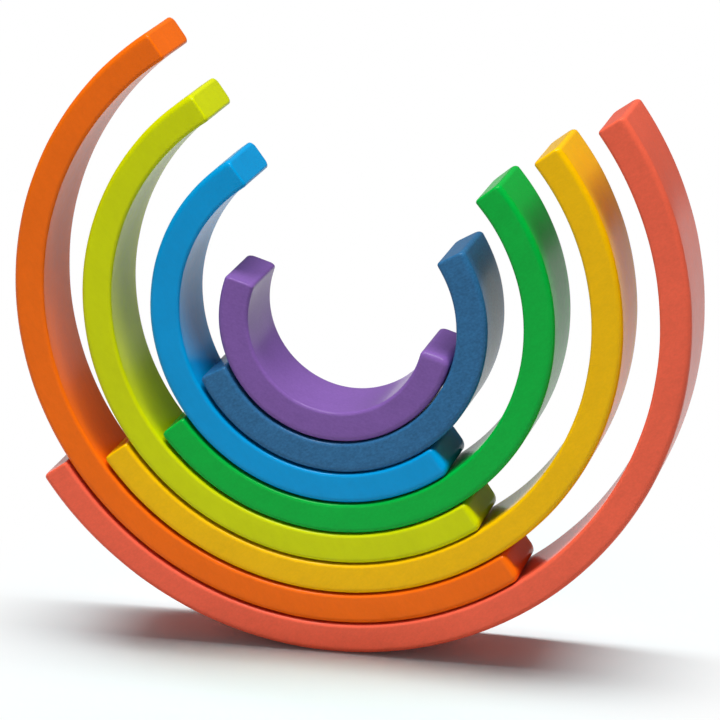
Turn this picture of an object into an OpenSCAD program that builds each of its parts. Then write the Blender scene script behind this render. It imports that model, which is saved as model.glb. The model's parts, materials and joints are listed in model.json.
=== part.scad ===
// Rainbow stacker: eight painted wooden arches, stacked upside down inside one another.
// Every arch is a ring that is cut flat across its two feet. The largest one stands on its
// round back, each of the others rests in the hollow of the one outside it, and they lean to
// the right and to the left in turn, so that the stack balances.
// X runs to the right, Y runs from the front to the back and Z runs up. The origin is on the
// floor, in the middle of the line on which the largest arch stands.

/* [Arches] */
// Outer radius of the largest arch
outer_radius = 150; // [140:1:200]
// Thickness of every arch, from its hollow to its round back
wall = 13; // [8:0.5:14]
// Depth of every arch, from front to back
depth = 36; // [24:1:80]
// Play between an arch and the hollow that it nests in, all round
play = 1.3; // [0.8:0.1:2]
// Height of the feet past the half circle
foot_height = 4; // [0:0.5:6]
// Radius of the sanded edges
edge_radius = 2; // [0.5:0.1:3]

/* [Stack] */
// Gap that is left where an arch rests in the hollow below it
rest_gap = 0.3; // [0.1:0.05:0.5]
// Turn from the bottom of a hollow to where an arch rests in it, more than 0 to the right
rest_turn = 27; // [-40:1:40]
// Lean of the red arch, more than 0 with its right foot higher
red_lean = 35; // [-60:0.5:60]
// Lean of the orange arch
orange_lean = -54.5; // [-60:0.5:60]
// Lean of the yellow arch
yellow_lean = 37.5; // [-60:0.5:60]
// Lean of the lime arch
lime_lean = -55; // [-60:0.5:60]
// Lean of the green arch
green_lean = 39.5; // [-60:0.5:60]
// Lean of the sky blue arch
sky_blue_lean = -53.5; // [-60:0.5:60]
// Lean of the dark blue arch
dark_blue_lean = 29.5; // [-60:0.5:60]
// Lean of the violet arch
violet_lean = -17; // [-60:0.5:60]

/* [Hidden] */
$fn = 96;

// The arches are counted from the largest one, which is 0
leans = [
    red_lean, orange_lean, yellow_lean, lime_lean,
    green_lean, sky_blue_lean, dark_blue_lean, violet_lean
];
last_arch = len(leans) - 1;

// Radii of an arch
function outer_of(arch) = outer_radius - arch * (wall + play);
function inner_of(arch) = outer_of(arch) - wall;

// Centre of an arch, seen from the front and from the centre of the largest one
rest_step = (play - rest_gap) * [sin(rest_turn), -cos(rest_turn)];
function centre_of(arch) = arch * rest_step;

// Area of an arch seen from the front, and its moment about the line through its centre
function area_of(arch) =
    PI / 2 * (outer_of(arch) ^ 2 - inner_of(arch) ^ 2) + 2 * wall * foot_height;
function moment_of(arch) =
    2 / 3 * (outer_of(arch) ^ 3 - inner_of(arch) ^ 3) - wall * foot_height ^ 2;

// Pull of each arch's weight about the centre of the largest arch, to the right and upwards
weight_pulls = [
    for (arch = [0 : last_arch])
        area_of(arch) * centre_of(arch) + moment_of(arch) * [sin(leans[arch]), -cos(leans[arch])]
];
stack_pull = [for (arch = [0 : last_arch]) 1] * weight_pulls;
// The stack rocks on the floor until its weight is over the line on which it stands
balance_turn = -atan2(stack_pull.x, -stack_pull.y);

// A sanded round is cut a little past its edge, so that it meets both faces cleanly
round_overcut = 1.03;
// Turn by which a ring runs on past its feet before they are cut flat
spare_turn = 10;

// Section of an arch with its four sanded edges, from its hollow outwards
module section(inner) {
    corner_x = [inner + edge_radius, inner + wall - edge_radius];
    corner_y = [edge_radius - depth / 2, depth / 2 - edge_radius];
    translate([corner_x[0], -depth / 2])
        square([wall - 2 * edge_radius, depth]);
    translate([inner, corner_y[0]])
        square([wall, depth - 2 * edge_radius]);
    for (x = corner_x, y = corner_y)
        translate([x, y])
            circle(edge_radius);
}

// Cutter that rounds an edge along Z, with the wood on the side of -X and -Y
module edge_cutter(edge_length) {
    linear_extrude(edge_length, center = true)
        difference() {
            square(2 * edge_radius);
            circle(edge_radius * round_overcut);
        }
}

// Cutters for the four edges of the right foot, whose face looks along +Y
module foot_cutters(arch) {
    round_height = foot_height - edge_radius;
    outer_x = sqrt((outer_of(arch) - edge_radius) ^ 2 - round_height ^ 2);
    inner_x = sqrt((inner_of(arch) + edge_radius) ^ 2 - round_height ^ 2);
    translate([outer_x, round_height, 0])
        edge_cutter(2 * depth);
    translate([inner_x, round_height, 0])
        mirror([1, 0, 0])
            edge_cutter(2 * depth);
    for (side = [0, 1])
        mirror([0, 0, side])
            translate([(outer_x + inner_x) / 2, round_height, depth / 2 - edge_radius])
                rotate([0, -90, 0])
                    edge_cutter(2 * wall);
}

// An arch in the XY plane, with its feet up and its centre at the origin
module arch_blank(arch) {
    past_feet = spare_turn + asin(foot_height / inner_of(arch));
    difference() {
        rotate(180 - past_feet)
            rotate_extrude(angle = 180 + 2 * past_feet)
                section(inner_of(arch));
        translate([-outer_radius, foot_height, -depth])
            cube([2 * outer_radius, outer_radius, 2 * depth]);
        for (side = [0, 1])
            mirror([side, 0, 0])
                foot_cutters(arch);
    }
}

// An arch where it stands in the stack
module stacked_arch(arch) {
    translate([0, 0, outer_radius])
        rotate([90, 0, 0])
            rotate(balance_turn)
                translate(centre_of(arch))
                    rotate(leans[arch])
                        arch_blank(arch);
}

module red_arch() {
    color("#d3634a") stacked_arch(0);
}

module orange_arch() {
    color("#d8651e") stacked_arch(1);
}

module yellow_arch() {
    color("#d8a918") stacked_arch(2);
}

module lime_arch() {
    color("#b6bd0f") stacked_arch(3);
}

module green_arch() {
    color("#009b3e") stacked_arch(4);
}

module sky_blue_arch() {
    color("#0183ba") stacked_arch(5);
}

module dark_blue_arch() {
    color("#326185") stacked_arch(6);
}

module violet_arch() {
    color("#705090") stacked_arch(7);
}

red_arch();
orange_arch();
yellow_arch();
lime_arch();
green_arch();
sky_blue_arch();
dark_blue_arch();
violet_arch();
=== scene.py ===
# %% [markdown]
# # A rainbow stacker in painted wood
# Eight wooden arches are stacked upside down inside one another. The largest one stands on its
# round back, and the others lean to the right and to the left in turn. A packed construction
# model fixes every size and place. This lesson shapes each arch again as a smooth mesh with
# sanded edges, paints it, and sets up the floor, the light and the camera.
#
# The first step loads that model as a fixed frame.

# %% Load the frame
import json
import math

import bmesh
import bpy
from mathutils import Color, Matrix, Vector, noise


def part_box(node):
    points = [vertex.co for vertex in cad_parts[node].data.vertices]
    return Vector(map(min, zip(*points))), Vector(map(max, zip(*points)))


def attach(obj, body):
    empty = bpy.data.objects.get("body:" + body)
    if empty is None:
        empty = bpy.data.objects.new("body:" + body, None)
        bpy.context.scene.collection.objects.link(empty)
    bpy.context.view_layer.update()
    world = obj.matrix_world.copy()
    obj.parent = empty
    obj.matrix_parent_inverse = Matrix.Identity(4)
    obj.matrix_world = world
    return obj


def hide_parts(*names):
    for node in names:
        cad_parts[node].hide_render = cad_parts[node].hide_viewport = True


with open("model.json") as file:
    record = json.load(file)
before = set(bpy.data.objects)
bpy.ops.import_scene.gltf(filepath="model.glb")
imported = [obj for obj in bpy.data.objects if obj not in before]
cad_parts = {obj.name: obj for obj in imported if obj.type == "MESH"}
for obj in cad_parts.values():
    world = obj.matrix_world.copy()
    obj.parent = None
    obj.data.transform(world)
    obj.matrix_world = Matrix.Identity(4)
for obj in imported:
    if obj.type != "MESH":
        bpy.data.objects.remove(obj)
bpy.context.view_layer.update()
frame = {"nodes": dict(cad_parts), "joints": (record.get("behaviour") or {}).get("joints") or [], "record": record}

# %% [markdown]
# ## Where each arch is
# Nothing is measured by eye here, because the frame already holds the numbers. Every arch turns
# about its own centre, so the joints give seven of the eight centres. They follow one another at
# even steps, and the red one's is one step before the orange one's.
#
# A joint reaches as far to one side of the nested place as to the other. The middle of its range
# therefore says how far an arch leans against the arch outside it. The red arch has no joint,
# and the line from its left foot to its right foot gives its lean.

# %% Find the centres and leans
COLOURS = ["red", "orange", "yellow", "lime", "green", "sky_blue", "dark_blue", "violet"]

joints = {joint["child"]: joint for joint in frame["joints"]}
centres = {colour: Vector(joints[f"{colour}_body"]["pos_m"]) for colour in COLOURS[1:]}
centres["red"] = 2 * centres["orange"] - centres["yellow"]

mounts = {mount["name"]: Vector(mount["pos_m"]) for mount in frame["record"]["mounts"]}
across_feet = mounts["red_right_foot"] - mounts["red_left_foot"]
leans = {"red": math.atan2(across_feet.z, across_feet.x)}
for outside, colour in zip(COLOURS, COLOURS[1:]):
    low, high = joints[f"{colour}_body"]["range_deg"]
    leans[colour] = leans[outside] - math.radians((low + high) / 2)

for colour in COLOURS:
    degrees = math.degrees(leans[colour])
    print(f"{colour}: centre z {centres[colour].z:.4f} m, lean {degrees:.1f} degrees")

# %% [markdown]
# ## How large each arch is
# The solids of the frame are meshes, and their points lie on the true surfaces. The nearest point
# to an arch's centre is on its hollow, and the farthest is on its round back. The feet are the
# highest part when the arch stands straight with its feet up.

# %% Measure the solids
def place_of(colour):
    """The matrix that takes an arch from its own frame, feet up, to its place in the stack."""
    return Matrix.Translation(centres[colour]) @ Matrix.Rotation(-leans[colour], 4, "Y")


def measure(colour):
    """Radius of the hollow, radius of the round back and height of the feet above the centre."""
    to_own_frame = place_of(colour).inverted()
    solid = frame["nodes"][f"{colour}_arch"].data
    points = [to_own_frame @ vertex.co for vertex in solid.vertices]
    distances = [math.hypot(point.x, point.z) for point in points]
    return min(distances), max(distances), max(point.z for point in points)


front, back = (corner.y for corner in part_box("red_arch"))
depth = back - front
sizes = {colour: measure(colour) for colour in COLOURS}
for colour in COLOURS:
    hollow, rim, foot = (1000 * size for size in sizes[colour])
    print(f"{colour}: hollow {hollow:.1f} mm, back {rim:.1f} mm, feet {foot:.1f} mm up")

# %% [markdown]
# ## The section of an arch
# On the bench an arch is sawn from a thick board and its edges are sanded round, the front edge of
# the hollow least of all. Cut it across and the cut is a small rectangle with four rounded corners.
# A curve with a bevel object could carry that section round. Here the section is a grid of one
# face, because its corners can then be rounded by a vertex bevel, each with its own radius, and its
# long sides divided, before the face itself is thrown away.

# %% Draw the section
FRONT_HOLLOW_ROUND = 0.0016
FRONT_OUTER_ROUND = 0.0025
BACK_ROUND = 0.0026
EDGE_SEGMENTS = 6
SIDE_CUTS = 5


def corner_round(corner, middle):
    """Radius of a corner of the section. X runs from the hollow outwards, and -Y is the front."""
    if corner.co.y > 0:
        return BACK_ROUND
    return FRONT_OUTER_ROUND if corner.co.x > middle else FRONT_HOLLOW_ROUND


def section_of(hollow, rim):
    """A bmesh with the rounded outline of an arch's section, where it meets the right foot."""
    arch = bmesh.new()
    bmesh.ops.create_grid(arch, x_segments=1, y_segments=1, size=0.5)
    bmesh.ops.scale(arch, vec=(rim - hollow, depth, 1), verts=arch.verts)
    middle = (hollow + rim) / 2
    bmesh.ops.translate(arch, vec=(middle, 0, 0), verts=arch.verts)
    for corner in arch.verts[:]:
        bmesh.ops.bevel(
            arch, geom=[corner], offset=corner_round(corner, middle),
            segments=EDGE_SEGMENTS, profile=0.5, affect="VERTICES", material=-1,
        )
    long_sides = [edge for edge in arch.edges if edge.calc_length() > BACK_ROUND]
    bmesh.ops.subdivide_edges(arch, edges=long_sides, cuts=SIDE_CUTS)
    bmesh.ops.delete(arch, geom=arch.faces[:], context="FACES_ONLY")
    return arch


trial = section_of(*sizes["red"][:2])
print("points round a section:", len(trial.verts))
trial.free()

# %% [markdown]
# ## Bending the section into an arch
# Spin is the tool for anything turned about an axis. It carries the outline through half a turn,
# from the right foot down and round to the left one, and leaves both ends open.

# %% Bend it
TURN_STEPS = 160


def open_edges(arch):
    """The edges with a face on one side only."""
    return [edge for edge in arch.edges if edge.is_boundary]


def bend(arch):
    """Carry an outline through half a turn, from the right foot round to the left one."""
    bmesh.ops.spin(
        arch, geom=arch.verts[:] + arch.edges[:], cent=(0, 0, 0), axis=(0, 1, 0),
        angle=math.pi, steps=TURN_STEPS, use_merge=False,
    )


trial = section_of(*sizes["red"][:2])
bend(trial)
print("faces of a half ring:", len(trial.faces), "open edges:", len(open_edges(trial)))
trial.free()

# %% [markdown]
# ## The feet
# A foot's edges are sanded too, each with its own radius, and most of them are crisp. Only the
# right feet of the left-leaning arches are soft all round. A bevel can't be larger than the
# rounding that it runs into, so each open end is drawn up in small steps instead. Every step looks
# up, for each of the four sides, how far its own circle is set back at that height. A flat face
# closes the top.

# %% Round the feet
FOOT_STEPS = 12
CRISP_FOOT = {"front": 0.0010, "back": BACK_ROUND, "hollow": 0.0014, "outside": 0.0020}
SOFT_FOOT = {"front": 0.0030, "back": 0.0030, "hollow": 0.0024, "outside": 0.0039}


def set_back(radius, below_top):
    """How far a side that is rounded with this radius is set back, this far below the top."""
    rise = max(radius - below_top, 0)
    return radius - math.sqrt(radius ** 2 - rise ** 2)


def draw_up(arch, edges, old_box, new_box):
    """Extrude open edges and fit the new ones from one box to another. Gives the new edges."""
    old_low, old_high = old_box
    new_low, new_high = new_box
    old_size = old_high - old_low
    new_size = new_high - new_low
    drawn = bmesh.ops.extrude_edge_only(arch, edges=edges)["geom"]
    points = [part for part in drawn if isinstance(part, bmesh.types.BMVert)]
    shrink = (new_size.x / old_size.x, new_size.y / old_size.y, 1)
    bmesh.ops.scale(arch, vec=shrink, verts=points, space=Matrix.Translation(-old_low))
    bmesh.ops.translate(arch, vec=new_low - old_low, verts=points)
    return [part for part in drawn if isinstance(part, bmesh.types.BMEdge) and part.is_boundary]


def foot_box(hollow, rim, height, rounds, side, below_top):
    """Two corners of the foot's outline at a height, on the right side (1) or the left one (-1)."""
    inset = {edge: set_back(radius, below_top) for edge, radius in rounds.items()}
    low = Vector((side * (hollow + inset["hollow"]), inset["front"] - depth / 2, height))
    high = Vector((side * (rim - inset["outside"]), depth / 2 - inset["back"], height))
    return low, high


def round_foot(arch, edges, hollow, rim, foot, rounds, side):
    """Draw one open end up to its foot and close it."""
    largest = max(rounds.values())
    old_box = foot_box(hollow, rim, 0, rounds, side, foot)
    for step in range(FOOT_STEPS + 1):
        below_top = largest * (1 - step / FOOT_STEPS) ** 2
        new_box = foot_box(hollow, rim, foot - below_top, rounds, side, below_top)
        edges = draw_up(arch, edges, old_box, new_box)
        old_box = new_box
    bmesh.ops.holes_fill(arch, edges=edges)


def close_feet(arch, hollow, rim, foot, lean):
    """Round and close both ends of a half ring."""
    ends = open_edges(arch)
    right_foot = CRISP_FOOT if lean > 0 else SOFT_FOOT
    for side, rounds in ((1, right_foot), (-1, CRISP_FOOT)):
        foot_edges = [edge for edge in ends if side * edge.verts[0].co.x > 0]
        round_foot(arch, foot_edges, hollow, rim, foot, rounds, side)
    bmesh.ops.recalc_face_normals(arch, faces=arch.faces[:])


trial = section_of(*sizes["red"][:2])
bend(trial)
close_feet(trial, *sizes["red"], leans["red"])
print("faces of an arch:", len(trial.faces), "open edges:", len(open_edges(trial)))
print(f"its volume: {1e6 * trial.calc_volume():.1f} cubic centimetres")
trial.free()

# %% [markdown]
# ## The hand of the sander
# A sanded edge is never quite even. Every point is pressed in along its normal by a slow noise,
# at most a sixth of a millimetre. The noise runs from -1 to 1, so half of it is added to a half.
# Pressing inwards only keeps the arches clear of one another and inside the frame's box. A
# displacement modifier could do the same, but a loop shows what happens.

# %% Sand it by hand
SANDING_DEPTH = 0.00016
SANDING_SPREAD = 0.016


def sand(arch, start):
    """Press the surface in a little, by a noise that starts at another place for each arch."""
    arch.normal_update()
    for vertex in arch.verts:
        height = noise.noise(vertex.co / SANDING_SPREAD + start)
        vertex.co -= vertex.normal * SANDING_DEPTH * (0.5 + 0.5 * height)


print(f"sanded by up to {1000 * SANDING_DEPTH} mm")

# %% [markdown]
# ## Setting the arch in its place
# The finished mesh is moved to where the frame has it, and its object stays at the origin, as the
# frame's own objects do. Smooth shading would round the flat faces as well, because a point's
# normal is shared by the flat face and the small faces of the edge. The Weighted Normal modifier
# gives large faces the say, so flat stays flat.

# %% Make the eight arches
def make_arch(number, colour):
    """One arch as an object in its place, riding on its body in the frame."""
    hollow, rim, foot = sizes[colour]
    arch = section_of(hollow, rim)
    bend(arch)
    close_feet(arch, hollow, rim, foot, leans[colour])
    sand(arch, Vector((0, number, 0)))
    arch.transform(place_of(colour))
    mesh = bpy.data.meshes.new(f"{colour}_arch_wood")
    arch.to_mesh(mesh)
    arch.free()
    mesh.shade_smooth()
    piece = bpy.data.objects.new(f"{colour}_arch_wood", mesh)
    bpy.context.scene.collection.objects.link(piece)
    piece.modifiers.new("flat_stays_flat", "WEIGHTED_NORMAL")
    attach(piece, f"{colour}_body")
    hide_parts(f"{colour}_arch")
    return piece


arches = {colour: make_arch(number, colour) for number, colour in enumerate(COLOURS)}
print("arches:", [piece.name for piece in arches.values()])

# %% [markdown]
# ## Shader maths as formulas
# A material is a network of nodes, and drawing sums with Math nodes one by one is slow to read.
# The class below stands for one output socket. Adding, subtracting or multiplying it adds the
# Math node and gives back that node's output, so a pattern is written as a formula. Every other
# node comes from one method, which takes its type, its settings and its inputs. A Mix node holds
# the inputs of all the types that it can mix, so its colours go by the number of their sockets.

# %% Write a small shader language
class Output:
    """An output socket that can be used in a formula."""

    def __init__(self, finish, socket):
        self.finish = finish
        self.socket = socket

    def math(self, operation, first, second):
        return self.finish.node("Math", {"operation": operation}, {0: first, 1: second})

    def __add__(self, other):
        return self.math("ADD", self, other)

    def __radd__(self, other):
        return self.math("ADD", other, self)

    def __sub__(self, other):
        return self.math("SUBTRACT", self, other)

    def __rsub__(self, other):
        return self.math("SUBTRACT", other, self)

    def __mul__(self, other):
        return self.math("MULTIPLY", self, other)

    def __rmul__(self, other):
        return self.math("MULTIPLY", other, self)


class Finish:
    """The node tree of a material or a world, started empty."""

    def __init__(self, owner):
        owner.use_nodes = True
        self.tree = owner.node_tree
        self.tree.nodes.clear()

    def node(self, kind, settings=None, inputs=None, output=0):
        """Add a node, set it up, connect or set its inputs, and give back one of its outputs."""
        made = self.tree.nodes.new(f"ShaderNode{kind}")
        for name, value in (settings or {}).items():
            setattr(made, name, value)
        for key, value in (inputs or {}).items():
            if isinstance(value, Output):
                self.tree.links.new(value.socket, made.inputs[key])
            else:
                made.inputs[key].default_value = value
        return Output(self, made.outputs[output]) if made.outputs else None


def mix_colours(finish, share, first, second):
    """The first colour where the share is 0, and the second one where it is 1."""
    return finish.node("Mix", {"data_type": "RGBA"}, {0: share, 6: first, 7: second}, output=2)


trial_material = bpy.data.materials.new("trial_paint")
trial_finish = Finish(trial_material)
answer = 2 * trial_finish.node("Value") + 1
print("the formula 2 x + 1 takes", len(trial_finish.tree.nodes), "nodes, up to", answer.socket.node.name)
bpy.data.materials.remove(trial_material)

# %% [markdown]
# ## The grain of the wood
# The board's grain runs straight, along the line from foot to foot, and the arch is sawn through
# it. So the grain doesn't bend with the arch: it shows as streaks on the faces and the crown, and
# as dots where the arms cut across it. A noise in three dimensions that is stretched along one
# axis gives all of that at once. A Mapping node turns the pattern with each arch's lean. Four
# such patterns, from slow blotches down to the speckle of the pores, make up the wood.

# %% Streak the grain
PATTERNS = {
    "blotches": {"along": 0.045, "across": 0.020, "detail": 2.0},
    "mottle": {"along": 0.006, "across": 0.003, "detail": 2.0},
    "fibres": {"along": 0.008, "across": 0.0012, "detail": 3.0, "distortion": 1.2},
    "speckle": {"along": 0.0011, "across": 0.0008, "detail": 2.0},
}
NOISE_MIDDLE = 0.5


def board_place(finish, colour):
    """Coordinates in the board that an arch is sawn from: X along the grain."""
    point = finish.node("TexCoord", output="Object")
    return finish.node("Mapping", {"vector_type": "TEXTURE"}, {
        "Vector": point, "Location": centres[colour], "Rotation": (0, -leans[colour], 0),
    })


def grain_noise(finish, place, along, across, detail, distortion=0.0):
    """A noise on both sides of 0, with spots of this length and thickness in metres."""
    stretched = finish.node("VectorMath", {"operation": "MULTIPLY"}, {
        0: place, 1: (1 / along, 1 / across, 1 / across),
    })
    spots = finish.node("TexNoise", {}, {
        "Vector": stretched, "Scale": 1.0, "Detail": detail, "Distortion": distortion,
    })
    return spots - NOISE_MIDDLE


for name, spot in PATTERNS.items():
    print(f"{name}: about {1000 * spot['along']:.1f} mm long, {1000 * spot['across']:.1f} mm thick")

# %% [markdown]
# ## Paint on wood
# The arches are stained and varnished: the colour is even from a step away, and close up the
# grain shows through as fine lighter and darker streaks. So the base colour is a mix of a deep tone
# and a thin tone of the same paint, and the four patterns push the mix one way or the other. The
# fibres and the speckle also raise the surface a little, and the mottle makes it more or less
# rough. A soft coat over it is the varnish.

# %% Mix the paints
DEEP_TONE = 0.80
THIN_TONE = 1.22
EVEN_MIX = 0.5
BLOTCH_SHARE = 0.35
MOTTLE_SHARE = 0.2
FIBRE_SHARE = 0.35
SPECKLE_RISE = 0.6
BUMP_HEIGHT = 0.00012
BUMP_STRENGTH = 0.15
WOOD_ROUGHNESS = 0.5
ROUGHNESS_SPREAD = 0.25
VARNISH = {"Specular IOR Level": 0.03, "Coat Weight": 0.7, "Coat Roughness": 0.22, "Coat IOR": 1.25}


def linear(hex_colour):
    """A colour of the paint chart in the linear light that shaders work in."""
    parts = [int(hex_colour[start:start + 2], 16) / 255 for start in (1, 3, 5)]
    return Color(parts).from_srgb_to_scene_linear()


def paint(colour, chart_colour, grain):
    """Satin paint for one arch. Grain says how much of the wood shows through it."""
    material = bpy.data.materials.new(f"{colour}_paint")
    finish = Finish(material)
    place = board_place(finish, colour)
    blotches, mottle, fibres, speckle = (
        grain_noise(finish, place, **spot) for spot in PATTERNS.values()
    )
    even_share = BLOTCH_SHARE * blotches + MOTTLE_SHARE * (1 + grain) * mottle
    grain_share = grain * (FIBRE_SHARE * fibres + speckle)
    base = linear(chart_colour)
    colour_mix = mix_colours(
        finish, EVEN_MIX + even_share + grain_share, (*(base * DEEP_TONE), 1), (*(base * THIN_TONE), 1),
    )
    bump = finish.node("Bump", {}, {
        "Height": fibres + SPECKLE_RISE * speckle, "Distance": BUMP_HEIGHT, "Strength": BUMP_STRENGTH,
    })
    surface = finish.node("BsdfPrincipled", {}, {
        "Base Color": colour_mix,
        "Roughness": WOOD_ROUGHNESS + ROUGHNESS_SPREAD * mottle,
        "Normal": bump,
        **VARNISH,
    })
    finish.node("OutputMaterial", {}, {"Surface": surface})
    return material


PAINTS = {
    "red": ("#f06448", 0.5),
    "orange": ("#f46c0a", 0.25),
    "yellow": ("#f2bb00", 0.35),
    "lime": ("#cdd500", 0.15),
    "green": ("#00ae3c", 0.5),
    "sky_blue": ("#0096d5", 0.2),
    "dark_blue": ("#2f6895", 2.0),
    "violet": ("#7e59a2", 0.7),
}
for colour, piece in arches.items():
    piece.data.materials.append(paint(colour, *PAINTS[colour]))
print("painted:", len(PAINTS))

# %% [markdown]
# ## The floor
# The toy stands on a plain white floor that fills the picture behind it and takes its shadow. A
# real white floor would also throw a lot of light up and wash out the shaded sides. So the floor
# is white for rays that show it, to the camera or in a reflection, and a pale grey for rays of
# light. Its white is a little blue, because the largest arch throws red light on it. Away from the
# toy it passes into plain white, as a lit backdrop does. In reflections it passes on into the grey
# of the room, farther off.

# %% Lay the floor
FLOOR_SIZE = 12.0
FLOOR_SEEN = (0.88, 0.98, 1.0, 1)
FLOOR_BOUNCE = (0.85, 0.85, 0.85, 1)
FLOOR_ROUGHNESS = 0.9
BACKDROP_FROM = 0.07
BACKDROP_FULL = 0.20
ROOM_FROM = 1.45
ROOM_FULL = 2.2
ROOM_SEEN = (0.15, 0.15, 0.15, 1)
WHITE = (1, 1, 1, 1)


def ray_is_seen(finish):
    """1 for rays that show a surface to the camera or in a reflection, and 0 for rays of light."""
    seen = finish.node("LightPath", output="Is Camera Ray")
    for kind in ("Is Glossy Ray", "Is Transmission Ray"):
        seen = seen.math("MAXIMUM", seen, finish.node("LightPath", output=kind))
    return seen


def fade(finish, distance, start, end):
    """A share that rises softly from 0 at one distance to 1 at another."""
    return finish.node("MapRange", {"interpolation_type": "SMOOTHSTEP"}, {
        "Value": distance, "From Min": start, "From Max": end,
    })


grid = bmesh.new()
bmesh.ops.create_grid(grid, x_segments=1, y_segments=1, size=FLOOR_SIZE / 2)
floor_mesh = bpy.data.meshes.new("floor")
grid.to_mesh(floor_mesh)
grid.free()
floor = bpy.data.objects.new("floor", floor_mesh)
bpy.context.scene.collection.objects.link(floor)

floor_paint = bpy.data.materials.new("white_floor")
finish = Finish(floor_paint)
seen = ray_is_seen(finish)
floor_colour = mix_colours(finish, seen, FLOOR_BOUNCE, FLOOR_SEEN)
near = finish.node("BsdfPrincipled", {}, {
    "Base Color": floor_colour, "Roughness": FLOOR_ROUGHNESS, "Specular IOR Level": 0.0,
})
place = finish.node("TexCoord", output="Object")
distance = finish.node("VectorMath", {"operation": "LENGTH"}, {0: place}, output="Value")
backdrop = fade(finish, distance, BACKDROP_FROM, BACKDROP_FULL)
room_share = fade(finish, distance, ROOM_FROM, ROOM_FULL)
in_camera = finish.node("LightPath", output="Is Camera Ray")
far_colour = mix_colours(finish, room_share * (1 - in_camera), WHITE, ROOM_SEEN)
far = finish.node("Emission", {}, {"Color": far_colour, "Strength": 1.0})
surface = finish.node("MixShader", {}, {0: seen * backdrop, 1: near, 2: far})
finish.node("OutputMaterial", {}, {"Surface": surface})
floor_mesh.materials.append(floor_paint)
print("floor:", [round(side, 2) for side in floor.dimensions])

# %% [markdown]
# ## Light
# In a picture like this one the shadow and the toy are lit apart, and light linking does the same
# here: a lamp can be told which things it lights. A long strip above, a little behind the toy,
# lights the floor alone and draws the shadow under the round back. It stands a little off the
# middle, which turns it and slants the shadow. A wide soft box high in front lights the toy alone,
# so that the upper faces and the edges of the hollows catch it. A second one, far off and low, fills
# the fronts. A dim room keeps the sides turned away dark. It is a little blue, against the red that
# the largest arch throws on the floor. Only the camera sees it white, as it sees the floor.

# %% Light the scene
TOP_PLACE = Vector((0.008, 0.075, 0.95))
TOP_SIZE = (1.35, 0.16)
TOP_POWER = 11.5
FRONT_PLACE = Vector((-0.4, -2.4, 0.22))
FRONT_SIZE = (1.2, 1.0)
FRONT_POWER = 7
KEY_PLACE = Vector((0.1, -0.45, 2.0))
KEY_SIZE = (1.3, 0.5)
KEY_POWER = 53
ROOM_LIGHT = (0.08, 0.10, 0.105, 1)
MIDDLE = Vector((0, 0, 0.13))

world = bpy.data.worlds.new("grey_room")
bpy.context.scene.world = world
room = Finish(world)
in_camera = room.node("LightPath", output="Is Camera Ray")
seen_colour = mix_colours(room, in_camera, ROOM_SEEN, WHITE)
room_colour = mix_colours(room, ray_is_seen(room), ROOM_LIGHT, seen_colour)
background = room.node("Background", {}, {"Color": room_colour, "Strength": 1.0})
room.node("OutputWorld", {}, {"Surface": background})


def add_soft_box(name, place, size, power):
    """A rectangular lamp that faces the middle of the toy."""
    lamp_data = bpy.data.lights.new(name, "AREA")
    lamp_data.shape = "RECTANGLE"
    lamp_data.size, lamp_data.size_y = size
    lamp_data.energy = power
    lamp = bpy.data.objects.new(name, lamp_data)
    facing = (MIDDLE - place).to_track_quat("-Z", "Y").to_matrix().to_4x4()
    lamp.matrix_world = Matrix.Translation(place) @ facing
    bpy.context.scene.collection.objects.link(lamp)
    print(f"{name}: {power} W, {(MIDDLE - place).length:.2f} m from the toy")
    return lamp


def light_only(lamp, things):
    """Let a lamp light these things and nothing else."""
    lit_things = bpy.data.collections.new(f"lit_by_{lamp.name}")
    for thing in things:
        lit_things.objects.link(thing)
    lamp.light_linking.receiver_collection = lit_things


top_light = add_soft_box("top_light", TOP_PLACE, TOP_SIZE, TOP_POWER)
light_only(top_light, [floor])
key_light = add_soft_box("key_light", KEY_PLACE, KEY_SIZE, KEY_POWER)
light_only(key_light, arches.values())
add_soft_box("front_light", FRONT_PLACE, FRONT_SIZE, FRONT_POWER)
bpy.context.scene.view_settings.view_transform = "Standard"

# %% [markdown]
# ## The camera
# The picture was taken from a little to the right and a little above, with a long lens. The camera
# is put on a sphere round the point that it aims at, and rolled by about a degree.

# %% Set up the camera
CAMERA_AZIMUTH = math.radians(14.94)
CAMERA_ELEVATION = math.radians(17.57)
CAMERA_ROLL = math.radians(-1.09)
CAMERA_DISTANCE = 1.388
LENS = 170
AIM = Vector((0.0137, front, 0.1302))

camera_data = bpy.data.cameras.new("camera")
camera_data.lens = LENS
camera = bpy.data.objects.new("camera", camera_data)
turn = (
    Matrix.Rotation(CAMERA_AZIMUTH, 4, "Z")
    @ Matrix.Rotation(math.pi / 2 - CAMERA_ELEVATION, 4, "X")
    @ Matrix.Rotation(CAMERA_ROLL, 4, "Z")
)
camera.matrix_world = Matrix.Translation(AIM) @ turn @ Matrix.Translation((0, 0, CAMERA_DISTANCE))
bpy.context.scene.collection.objects.link(camera)
bpy.context.scene.camera = camera
print("camera at", [round(part, 3) for part in camera.matrix_world.translation])
